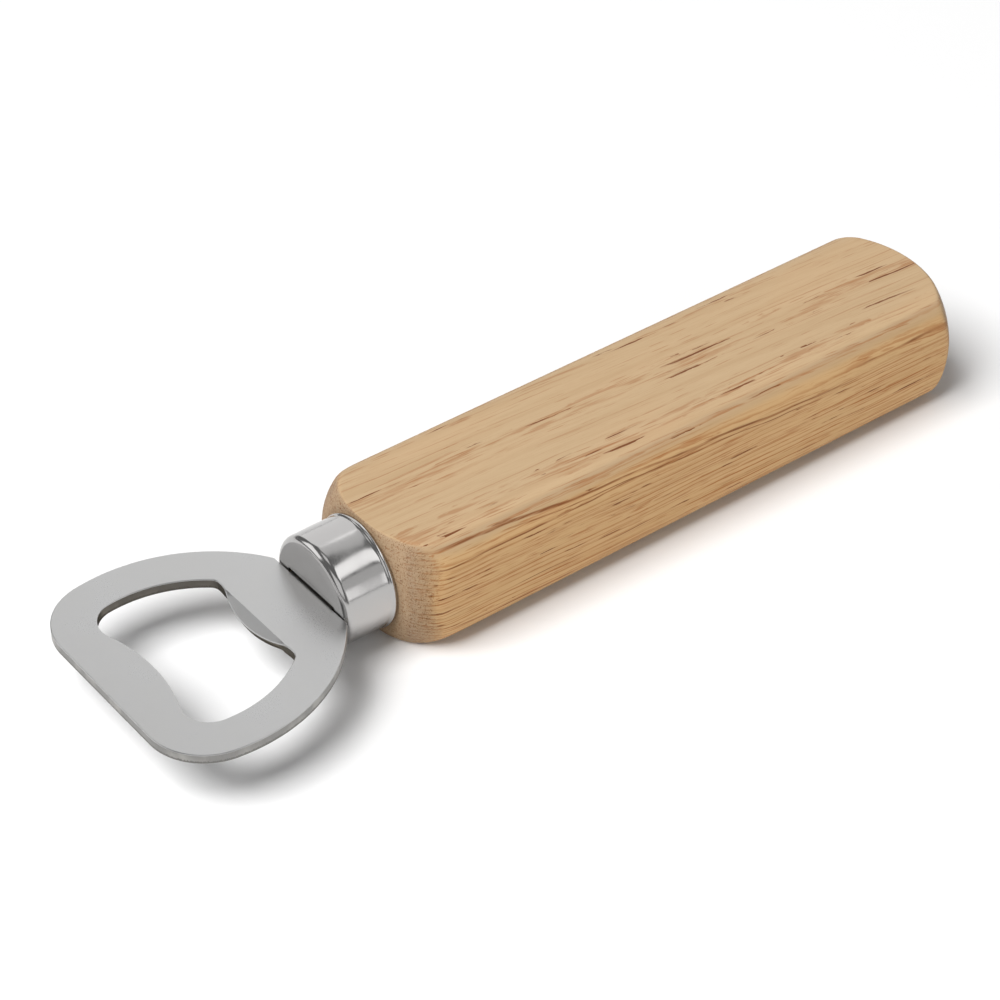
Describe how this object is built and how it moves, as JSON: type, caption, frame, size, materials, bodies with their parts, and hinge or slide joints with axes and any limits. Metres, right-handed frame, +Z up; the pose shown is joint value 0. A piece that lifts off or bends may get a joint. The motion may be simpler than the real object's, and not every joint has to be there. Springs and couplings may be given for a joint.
{
  "type": "bottle opener",
  "caption": "Bottle opener with a flat steel ring head and hooked tooth, set through a polished steel ferrule into a rounded wooden bar handle.",
  "frame": {"origin": "on the resting surface, under the middle of the bounding box", "axes": "+X along the handle from the opener head to the butt, +Z up out of the head's upper face"},
  "size_m": [0.1528, 0.0424, 0.0189],
  "materials": {
    "head_steel": "fine satin, stamped edges",
    "ferrule_steel": "polished nickel plate",
    "handle_wood": "light open-pored hardwood, sanded and thinly oiled",
    "adhesive": "cured epoxy"
  },
  "bodies": {
    "root": {"opener_head": "head_steel", "ferrule": "ferrule_steel", "handle": "handle_wood", "tang_adhesive": "adhesive"}
  },
  "joints": []
}
